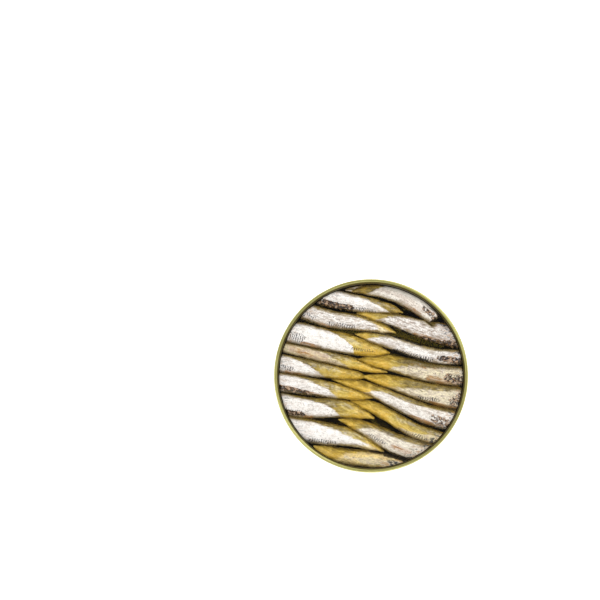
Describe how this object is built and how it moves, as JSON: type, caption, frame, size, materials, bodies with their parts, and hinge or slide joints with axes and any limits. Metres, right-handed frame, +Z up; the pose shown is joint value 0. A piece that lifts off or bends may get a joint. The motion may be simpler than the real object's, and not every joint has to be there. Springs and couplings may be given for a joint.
{
  "type": "open sardine tin",
  "caption": "Open round fish tin with a rolled rim, packed with small headless sardines laid side by side, tails interleaved, in golden olive oil.",
  "frame": {"origin": "centre of the tin on the surface that it stands on", "axes": "+Z up, +Y towards the fishes' backs, +X towards the right-hand cut ends"},
  "size_m": [0.1024, 0.1024, 0.026],
  "materials": {
    "gold_lacquered_steel": "gold lacquer on drawn steel, satin gloss",
    "gold_lacquered_rim": "gold lacquer on the rolled seam, pale and glossy",
    "sardine_skin": "silvery fish skin, wet with oil",
    "olive_oil": "clear golden olive oil"
  },
  "bodies": {
    "root": {"tin_body": "gold_lacquered_steel", "lid_rim": "gold_lacquered_rim", "olive_oil": "olive_oil", "sardine_right_0": "sardine_skin", "sardine_right_1": "sardine_skin", "sardine_right_2": "sardine_skin", "sardine_right_3": "sardine_skin", "sardine_right_4": "sardine_skin", "sardine_right_5": "sardine_skin", "sardine_right_6": "sardine_skin", "sardine_right_7": "sardine_skin", "sardine_right_8": "sardine_skin", "sardine_right_9": "sardine_skin", "sardine_left_1": "sardine_skin", "sardine_left_2": "sardine_skin", "sardine_left_3": "sardine_skin", "sardine_left_4": "sardine_skin", "sardine_left_5": "sardine_skin", "sardine_left_6": "sardine_skin", "sardine_left_7": "sardine_skin", "sardine_left_8": "sardine_skin"}
  },
  "joints": []
}
